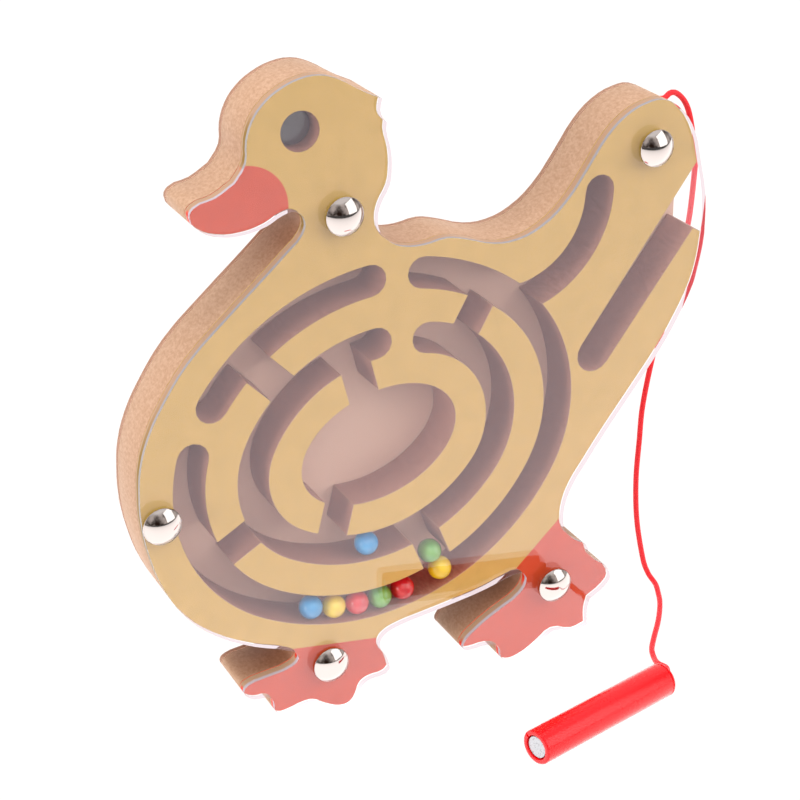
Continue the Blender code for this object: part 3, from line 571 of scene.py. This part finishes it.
def cut_edge(name, light, dark, notch_shade, streak):
    """Cut fibreboard: fine fibres across, with the laser's shallow streaks.

    Deep in the notches the colour is darkened and browned: painted shade.
    """
    made, tree = start_material(name)
    place = add_node(tree, "TexCoord")
    fibres = speckle(tree, place, 1900, 4, {"Roughness": 0.65})
    long_way = add_node(tree, "Mapping", {"Scale": (1, streak, 1)},
                        {"Vector": place.outputs["Object"]})
    streaks = add_node(tree, "TexNoise", {"Scale": 1400, "Detail": 2},
                       {"Vector": long_way.outputs["Vector"]})
    half = add_node(tree, "Math", {"operation": "MULTIPLY", 1: 0.5},
                    {0: fibres.outputs["Fac"]})
    blend = add_node(tree, "Math", {"operation": "MULTIPLY_ADD", 1: 0.5},
                     {0: streaks.outputs["Fac"], 2: half.outputs[0]})
    tone = colour_ramp(tree, blend.outputs[0], (0.38, dark), (0.62, light))
    # Painted shade: the less open the edge lies, the more its colour is multiplied towards the
    # notch colour.
    openness = add_node(tree, "Attribute", {"attribute_name": "openness_for_painted_shade"})
    painted_notch_shade = add_node(tree, "Mix", {"data_type": "RGBA", 6: linear(notch_shade), 7: (1, 1, 1, 1)},
                    {0: openness.outputs["Fac"]})
    browned = add_node(tree, "Mix", {"data_type": "RGBA", "blend_type": "MULTIPLY", 0: 1},
                       {6: tone.outputs["Color"], 7: painted_notch_shade.outputs[2]})
    rough = add_node(tree, "Bump", {"Strength": 0.3, "Distance": 0.0001},
                     {"Height": blend.outputs[0]})
    look = add_node(tree, "BsdfPrincipled", {"Roughness": 0.62, "Specular IOR Level": 0.45},
                    {"Base Color": browned.outputs[2], "Normal": rough.outputs["Normal"]})
    show(tree, look.outputs["BSDF"])
    return made


# The outer edge is sanded, lighter than the laser-browned groove walls. Deep in its notches it is
# darkened towards A06A44, a painted shade. The groove walls get none.
outer_edge = cut_edge("fibreboard_edge_painted_notch_shade", "B9957B", "A57F62", "A06A44", 0.6)
groove_edge = cut_edge("laser_browned_groove", "A87462", "8E5C4A", "FFFFFF", 0.3)


def seen_flat(corner):
    """Where a corner lies across the board, as a key to find it by."""
    return (round(corner.co.x, 5), round(corner.co.z, 5))


outline_corners = {seen_flat(corner)
                   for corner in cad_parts["back_sheet"].data.vertices}


def is_level(face):
    """True for a face to the front or the back, False for a cut edge."""
    return abs(face.normal.y) > 0.5


def is_on_outline(piece, face):
    """True for a face whose corners all lie on the duck's outline."""
    return all(seen_flat(piece.data.vertices[index]) in outline_corners
               for index in face.vertices)


def mark_notch_shade(piece):
    """Stores on the outline how free it lies: 0 deep in a notch, 1 in the open.

    A fan of short rays across the board finds how far it is to the next face. Where it is near,
    the edge gets painted shade.
    """
    reach = 0.018
    just_off = 0.00005
    openness_for_painted_shade = piece.data.attributes.new("openness_for_painted_shade", "FLOAT", "POINT")
    free, rays = {}, {}
    for face in piece.data.polygons:
        if is_level(face):
            continue
        start = Vector(face.center) + face.normal * just_off
        total, weight = 0, 0
        for turn in range(-60, 61, 15):
            way = Matrix.Rotation(math.radians(turn), 3, "Y") @ face.normal
            hit, spot, _, _ = piece.ray_cast(start, way, distance=reach)
            share = math.cos(math.radians(turn))
            total += share * ((spot - start).length / reach if hit else 1)
            weight += share
        for index in face.vertices:
            free[index] = free.get(index, 0) + total / weight
            rays[index] = rays.get(index, 0) + 1
    for index, value in enumerate(openness_for_painted_shade.data):
        value.value = (free[index] / rays[index]) ** 2 if index in free else 1


board_layers = ("duck_body", "maze_wall_bottom", "maze_wall_right", "maze_wall_inner")
for node in board_layers:
    piece = layer_copy("printed_" + node, node)
    for finish in (board_print, outer_edge, groove_edge):
        piece.data.materials.append(finish)
    for face in piece.data.polygons:
        if is_level(face):
            face.material_index = 0 if face.normal.y < 0 else 1
        else:
            face.material_index = 1 if is_on_outline(piece, face) else 2
    mark_notch_shade(piece)
    soften(piece, 0.0001, 2, finish=1)
    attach(piece, "board")
    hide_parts(node)


# Back sheet: 1.2 mm stained hardboard with the same outline, glued on behind.
# It is the floor of the grooves and the pocket.
back_brown, tree = start_material("stained_hardboard")
place = add_node(tree, "TexCoord")
fibres = speckle(tree, place, 900, 5, {"Roughness": 0.7})
tone = colour_ramp(tree, fibres.outputs["Fac"], (0.36, "DEB49C"), (0.64, "DCB09A"))
rough = add_node(tree, "Bump", {"Strength": 0.15, "Distance": 0.00008},
                 {"Height": fibres.outputs["Fac"]})
look = add_node(tree, "BsdfPrincipled", {"Roughness": 0.7},
                {"Base Color": tone.outputs["Color"], "Normal": rough.outputs["Normal"]})
show(tree, look.outputs["BSDF"])
back = layer_copy("stained_back_sheet", "back_sheet")
# Deep in its notches the back sheet's edge is darkened towards B87E58: painted shade.
back_edge = cut_edge("hardboard_edge_painted_notch_shade", "A27C66", "926A54", "B87E58", 0.6)
for finish in (back_brown, back_edge):
    back.data.materials.append(finish)
for face in back.data.polygons:
    face.material_index = 0 if is_level(face) else 1
mark_notch_shade(back)
soften(back, 0.00012, 2)
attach(back, "board")
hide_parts("back_sheet")


# Eye plug: a black lacquered wood dowel pressed into the drilled eye hole, set
# back from the face.
eye_black, tree = start_material("black_lacquered_dowel")
place = add_node(tree, "TexCoord")
waves = speckle(tree, place, 420, 2)
uneven = add_node(tree, "Bump", {"Strength": 0.35, "Distance": 0.0004},
                  {"Height": waves.outputs["Fac"]})
look = add_node(tree, "BsdfPrincipled",
                {"Base Color": linear("26262C"), "Roughness": 0.22, "Coat Weight": 0.5,
                 "Coat Roughness": 0.1},
                {"Normal": uneven.outputs["Normal"]})
show(tree, look.outputs["BSDF"])
eye = layer_copy("eye_dowel", "eye_plug")
eye.data.materials.append(eye_black)
soften(eye, 0.0002, 2)
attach(eye, "board")
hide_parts("eye_plug")


# Clear cover: 2.8 mm cast acrylic with the same outline, cut by laser. It bends
# and mirrors what is seen, but light from the lamps goes straight through.
def open_to_lamps(tree, shader):
    """Lets the lamps' light straight through what is otherwise a solid shader."""
    path = add_node(tree, "LightPath")
    open_way = add_node(tree, "BsdfTransparent", {"Color": linear("F6F7F7")})
    for_light = add_node(tree, "Math", {"operation": "MAXIMUM"},
                         {0: path.outputs["Is Diffuse Ray"], 1: path.outputs["Is Shadow Ray"]})
    whole = add_node(tree, "MixShader", {}, {0: for_light.outputs[0], 1: shader,
                                             2: open_way.outputs["BSDF"]})
    return whole.outputs[0]


acrylic, tree = start_material("clear_cast_acrylic")
gloss = add_node(tree, "BsdfPrincipled",
                 {"Base Color": linear("FCFDFD"), "Roughness": 0.0, "IOR": 1.49,
                  "Transmission Weight": 1.0, "Specular Tint": linear("FAEEFC")})
show(tree, open_to_lamps(tree, gloss.outputs["BSDF"]))

# The cover's cut edge is painted with what shows through it: a pale grey band at its front, then
# a painted line of the print where it faces left or down, and at the back a painted view of the
# board behind it. From within the sheet it is only a faint pale line.
acrylic_edge, tree = start_material("laser_cut_acrylic_edge")
place = add_node(tree, "TexCoord")
red_ink = red_ink_mask(tree, place)
axes = add_node(tree, "SeparateXYZ", {}, {"Vector": place.outputs["Object"]})
waves = speckle(tree, place, 700, 2)
cover_thickness = 0.0028
depth = add_node(tree, "MapRange", {"From Min": board_front,
                                    "From Max": board_front + cover_thickness},
                 {"Value": axes.outputs["Y"]})
uneven = add_node(tree, "Math", {"operation": "MULTIPLY_ADD", 1: 0.08},
                  {0: waves.outputs["Fac"], 2: depth.outputs["Result"]})
side = add_node(tree, "NewGeometry")
facing = add_node(tree, "SeparateXYZ", {}, {"Vector": side.outputs["Normal"]})
tipped = add_node(tree, "Math", {"operation": "MULTIPLY_ADD", 1: 0.6},
                  {0: facing.outputs["Z"], 2: facing.outputs["X"]})
# Only edge faces that turn left or down get the painted line of the print.
facing_for_painted_print = add_node(tree, "MapRange", {"From Min": -0.8, "From Max": -0.45, "To Min": 1,
                                       "To Max": 0}, {"Value": tipped.outputs[0]})
# Each band runs from a pale grey front to a painted view of the print, then of the board behind,
# seen through the edge.
painted_board_seen_through = "A88468"
painted_edge_bands = []
for pale_front_band, painted_print_seen_through in (("9C9694", "7E5E10"), ("B4A4AC", "D0300E"),
                            ("928C8E", painted_board_seen_through), ("ACA0A6", painted_board_seen_through)):
    painted_edge_bands.append(colour_ramp(tree, uneven.outputs[0], (0.34, pale_front_band), (0.45, painted_print_seen_through),
                             (0.80, painted_print_seen_through), (0.86, painted_board_seen_through)))
on_left = add_node(tree, "Mix", {"data_type": "RGBA"},
                   {0: red_ink.outputs[0], 6: painted_edge_bands[0].outputs["Color"],
                    7: painted_edge_bands[1].outputs["Color"]})
on_top = add_node(tree, "Mix", {"data_type": "RGBA"},
                  {0: red_ink.outputs[0], 6: painted_edge_bands[2].outputs["Color"],
                   7: painted_edge_bands[3].outputs["Color"]})
colours = add_node(tree, "Mix", {"data_type": "RGBA"},
                   {0: facing_for_painted_print.outputs["Result"], 6: on_top.outputs[2],
                    7: on_left.outputs[2]})
look = add_node(tree, "BsdfPrincipled",
                {"Roughness": 0.45, "IOR": 1.49, "Specular IOR Level": 0.1},
                {"Base Color": colours.outputs[2]})
clear = add_node(tree, "BsdfTransparent", {"Color": linear("ECE0E6")})
seen = add_node(tree, "MixShader", {}, {0: side.outputs["Backfacing"],
                                        1: look.outputs["BSDF"], 2: clear.outputs["BSDF"]})
show(tree, open_to_lamps(tree, seen.outputs[0]))

cover = layer_copy("acrylic_cover", "front_cover")
cover.data.materials.append(acrylic)
cover.data.materials.append(acrylic_edge)
for face in cover.data.polygons:
    face.material_index = 1 if is_on_outline(cover, face) and not is_level(face) else 0
soften(cover, 0.00006, 2)
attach(cover, "board")
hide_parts("front_cover")


# Rivets: double-cap rivets of nickel-plated steel, pressed through the whole
# stack. Each side shows a low dome with a rolled rim.
nickel, tree = start_material("polished_nickel_plate")
place = add_node(tree, "TexCoord")
rub = speckle(tree, place, 700, 5)
wear = add_node(tree, "MapRange", {"To Min": 0.05, "To Max": 0.13},
                {"Value": rub.outputs["Fac"]})
look = add_node(tree, "BsdfPrincipled", {"Base Color": linear("B2ABA8"), "Metallic": 1},
                {"Roughness": wear.outputs["Result"]})
show(tree, look.outputs["BSDF"])

cap_radius = 0.0046
cap_dome = 0.0018
cap_rim = 0.0007
rim_bend = 0.0003
rivet_spots = {
    "neck": (-0.1516 * board_width, 0.7981 * board_height),
    "tail": (0.3969 * board_width, 0.8180 * board_height),
    "breast": (-0.4675 * board_width, 0.3893 * board_height),
    "left_foot": (-0.1936 * board_width, 0.0881 * board_height),
    "right_foot": (0.2307 * board_width, 0.1221 * board_height),
}


def press_cap():
    """One cap at the origin, domed towards -Y, with its rolled rim behind."""
    dome_reach = cap_radius - rim_bend * 0.6
    dome_round = (dome_reach ** 2 + cap_dome ** 2) / (2 * cap_dome)
    steps = 16
    slopes = [math.asin(dome_reach / dome_round) * part / steps for part in range(steps + 1)]
    profile = [(dome_round * math.sin(slope),
                cap_rim + cap_dome - dome_round * (1 - math.cos(slope))) for slope in slopes]
    profile += corner_arc(cap_radius - rim_bend, cap_rim - rim_bend * 0.8, rim_bend, 60, -90)
    profile += [(0, cap_rim - rim_bend * 1.8)]
    piece = turn_piece("pressed_cap", profile, 64)
    piece.data.transform(Matrix.Rotation(math.pi / 2, 4, "X"))
    smooth_by_angle()
    return piece


cap = press_cap()
for name, spot in rivet_spots.items():
    for side, depth, turn in (("front", board_front, 0), ("back", board_back, math.pi)):
        piece = copy_mesh("cap_" + name + "_" + side, cap)
        piece.data.transform(Matrix.Translation((spot[0], depth, spot[1]))
                             @ Matrix.Rotation(turn, 4, "Z"))
        piece.data.materials.append(nickel)
        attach(piece, "board")
        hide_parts("rivet_" + name + "_" + side)
bpy.data.objects.remove(cap, do_unlink=True)


# Balls: 6 mm steel balls dipped in gloss enamel. The enamel is a little thin
# in places, and dulled where the balls have rolled.
ball_radius = 0.003
enamel_colours = {
    "blue": ("0094CC", "0082BC"),
    "yellow": ("F2CC18", "E8B80C"),
    "red": ("E01A20", "C8101A"),
    "green": ("6CAA3C", "4E9A3C"),
}
ball_spots = {
    "row_1": ("ball_row_1_blue", "blue"), "row_2": ("ball_row_2_yellow", "yellow"),
    "row_3": ("ball_row_3_red", "red"), "row_4": ("ball_row_4_green", "green"),
    "row_5": ("ball_row_5_red", "red"), "low_yellow": ("ball_low_yellow", "yellow"),
    "inner_blue": ("ball_inner_blue", "blue"), "gate_green": ("ball_gate_green", "green"),
}
enamels = {}
for colour, (light, dark) in enamel_colours.items():
    made, tree = start_material(colour + "_enamel_on_steel")
    place = add_node(tree, "TexCoord")
    thin = speckle(tree, place, 450, 3)
    tone = colour_ramp(tree, thin.outputs["Fac"], (0.35, dark), (0.6, light))
    scuffs = add_node(tree, "MapRange", {"From Min": 0.45, "From Max": 0.75, "To Min": 0.12,
                                         "To Max": 0.3}, {"Value": thin.outputs["Fac"]})
    look = add_node(tree, "BsdfPrincipled",
                    {"Coat Weight": 1, "Coat Roughness": 0.05, "Coat IOR": 1.45,
                     "Specular IOR Level": 0.2},
                    {"Base Color": tone.outputs["Color"], "Roughness": scuffs.outputs["Result"]})
    show(tree, look.outputs["BSDF"])
    enamels[colour] = made


def dip_ball():
    """One ball at the origin, rounded out of a finely divided cube."""
    bpy.ops.object.select_all(action="DESELECT")
    bpy.ops.mesh.primitive_cube_add(size=ball_radius)
    piece = bpy.context.object
    bpy.ops.object.mode_set(mode="EDIT")
    bpy.ops.mesh.subdivide(number_cuts=11)
    bpy.ops.object.mode_set(mode="OBJECT")
    round_out = piece.modifiers.new("round_out", "CAST")
    round_out.cast_type = "SPHERE"
    round_out.factor = 1
    round_out.use_radius_as_size = False
    round_out.size = ball_radius
    bpy.ops.object.modifier_apply(modifier=round_out.name)
    bpy.ops.object.shade_smooth()
    return piece


ball = dip_ball()
for body, (node, colour) in ball_spots.items():
    low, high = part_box(node)
    middle = (Vector(low) + Vector(high)) / 2
    piece = copy_mesh("enamel_" + node, ball)
    piece.data.transform(Matrix.Translation(middle))
    piece.data.materials.append(enamels[colour])
    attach(piece, body)
    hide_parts(node)
bpy.data.objects.remove(ball, do_unlink=True)


# Loop: the same cord goes once round the tail rivet's back cap and ends in a
# tight knot, hidden behind the tail.
loop = layer_copy("cord_tail_loop", "cord_loop")
loop.data.materials.append(cord_red)
smooth = loop.modifiers.new("smooth", "SUBSURF")
smooth.levels = 1
smooth.render_levels = 1
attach(loop, "board")
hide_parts("cord_loop")
